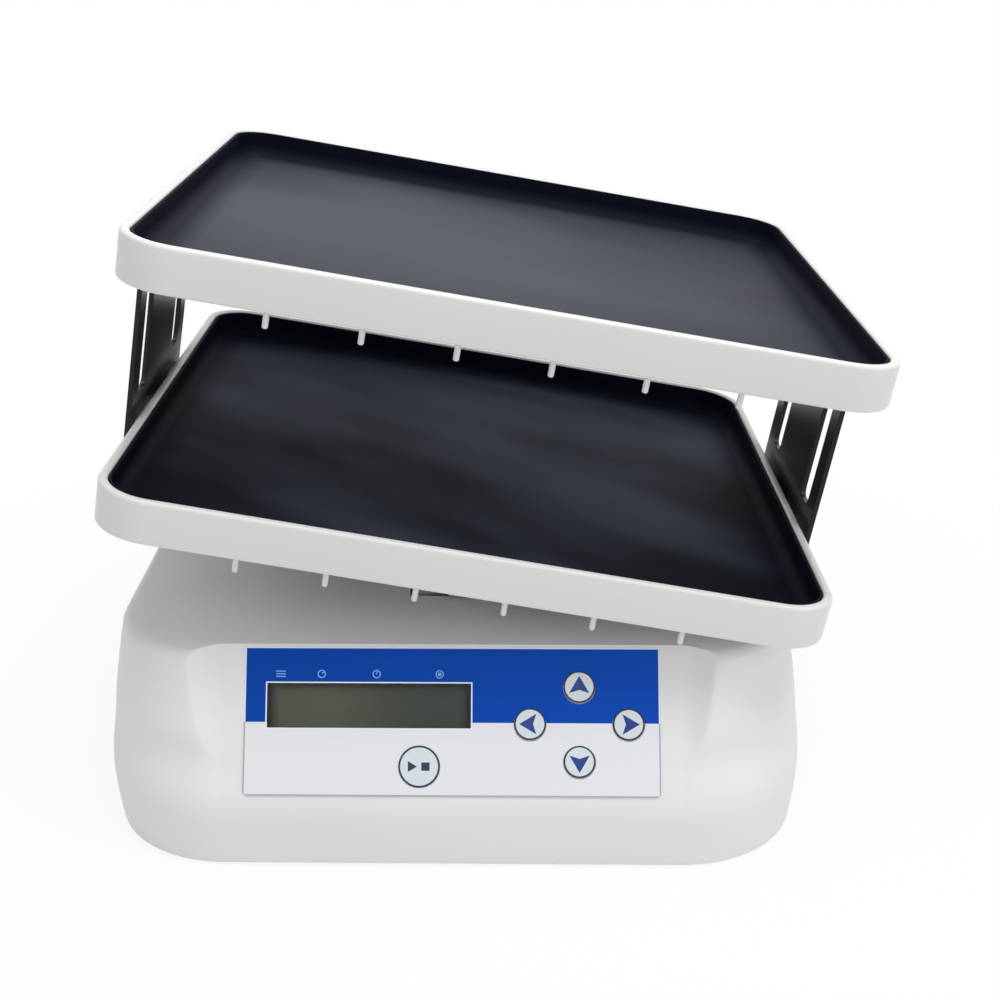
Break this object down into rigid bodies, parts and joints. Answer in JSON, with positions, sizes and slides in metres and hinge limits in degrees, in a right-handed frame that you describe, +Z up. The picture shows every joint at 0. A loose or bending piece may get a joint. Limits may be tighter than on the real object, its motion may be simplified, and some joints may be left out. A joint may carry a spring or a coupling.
{
  "type": "rocker shaker",
  "caption": "Bench-top rocker shaker: two rubber-lined trays on slotted uprights tilt together on a moulded base with an inclined display and keypad.",
  "frame": {"origin": "on the bench, straight under the middle of the rocking axle", "axes": "+X to the right and +Y to the back as seen from the keypad side, +Z up"},
  "size_m": [0.3302, 0.3019, 0.2624],
  "materials": {
    "white_shell": "satin moulded, light grey white",
    "white_tray": "satin gloss white",
    "black_mat": "satin black with a fine dimple",
    "dark_plate": "dark gloss paint",
    "printed_sheet": "satin printed film, blue over pale",
    "clear_window": "clear",
    "display_dark": "dark display glass",
    "display_light": "milky light guide",
    "key_cap": "satin printed cap",
    "steel": "turned or pressed",
    "alloy": "milled",
    "board": "solder mask",
    "black_plastic": "moulded",
    "pale_plastic": "natural nylon",
    "lead": "insulated wire",
    "foot_rubber": "matt"
  },
  "bodies": {
    "base": {"base_cover": "white_shell", "base_plate": "steel", "rubber_feet": "foot_rubber", "cover_screws": "steel", "keypad_sheet": "printed_sheet", "display_window": "clear_window", "display_frame": "black_plastic", "display_glass": "display_dark", "display_backlight": "display_light", "display_board": "board", "key_board": "board", "key_switches": "black_plastic", "board_screws": "steel", "front_bearing_post": "alloy", "rear_bearing_post": "alloy", "axle_bearings": "steel", "post_screws": "steel", "drive_motor": "steel", "gearbox": "alloy", "motor_bracket": "steel", "gearbox_screws": "steel", "bracket_screws": "steel", "main_board": "board", "board_spacers": "pale_plastic", "panel_ribbons": "pale_plastic", "motor_leads": "lead", "supply_leads": "lead", "power_inlet": "black_plastic", "inlet_nut": "steel", "switch_frame": "black_plastic"},
    "platform": {"rocking_axle": "steel", "axle_rings": "steel", "slotted_lever": "alloy", "hub_screws": "steel", "tray_carrier": "alloy", "carrier_screws": "steel", "lower_tray": "white_tray", "lower_mat": "black_mat", "lower_pegs": "white_tray", "left_upright": "dark_plate", "right_upright": "dark_plate", "upright_screws": "steel"},
    "upper_tier": {"upper_tray": "white_tray", "upper_mat": "black_mat", "upper_pegs": "white_tray", "slot_bushes": "black_plastic", "clamp_screws": "steel"},
    "crank": {"motor_shaft": "steel", "crank_disc": "alloy", "crank_pin": "steel"},
    "roller": {"crank_roller": "steel"},
    "power_switch": {"switch_rocker": "black_plastic"},
    "start_key_cap": {"start_key": "key_cap"},
    "up_key_cap": {"up_key": "key_cap"},
    "down_key_cap": {"down_key": "key_cap"},
    "left_key_cap": {"left_key": "key_cap"},
    "right_key_cap": {"right_key": "key_cap"}
  },
  "joints": [
    {"name": "rock", "type": "hinge", "parent": "base", "child": "platform", "pos_m": [0, 0, 0.094], "axis": [0, 1, 0], "range_deg": [-20, 0]},
    {"name": "crank_turn", "type": "hinge", "parent": "base", "child": "crank", "pos_m": [0, -0.027, 0.048], "axis": [0, 1, 0], "continuous": true},
    {"name": "roller_spin", "type": "hinge", "parent": "crank", "child": "roller", "pos_m": [-0.00784, -0.036, 0.04648], "axis": [0, 1, 0], "continuous": true},
    {"name": "tier_height", "type": "slide", "parent": "platform", "child": "upper_tier", "axis": [0.1736, 0, 0.9848], "range_m": [-0.074, 0]},
    {"name": "power_switch_tip", "type": "hinge", "parent": "base", "child": "power_switch", "pos_m": [0.088, 0.136, 0.036], "axis": [1, 0, 0], "range_deg": [0, 20]},
    {"name": "start_key_press", "type": "slide", "parent": "base", "child": "start_key_cap", "axis": [0, 0.8746, -0.4848], "range_m": [0, 0.0004], "stiffness_N_per_m": 2000, "springref_m": -0.0004},
    {"name": "up_key_press", "type": "slide", "parent": "base", "child": "up_key_cap", "axis": [0, 0.8746, -0.4848], "range_m": [0, 0.0004], "stiffness_N_per_m": 2000, "springref_m": -0.0004},
    {"name": "down_key_press", "type": "slide", "parent": "base", "child": "down_key_cap", "axis": [0, 0.8746, -0.4848], "range_m": [0, 0.0004], "stiffness_N_per_m": 2000, "springref_m": -0.0004},
    {"name": "left_key_press", "type": "slide", "parent": "base", "child": "left_key_cap", "axis": [0, 0.8746, -0.4848], "range_m": [0, 0.0004], "stiffness_N_per_m": 2000, "springref_m": -0.0004},
    {"name": "right_key_press", "type": "slide", "parent": "base", "child": "right_key_cap", "axis": [0, 0.8746, -0.4848], "range_m": [0, 0.0004], "stiffness_N_per_m": 2000, "springref_m": -0.0004}
  ],
  "couplings": [
    {"joint": "crank_turn", "follows": "rock", "ratio": 7.9}
  ]
}
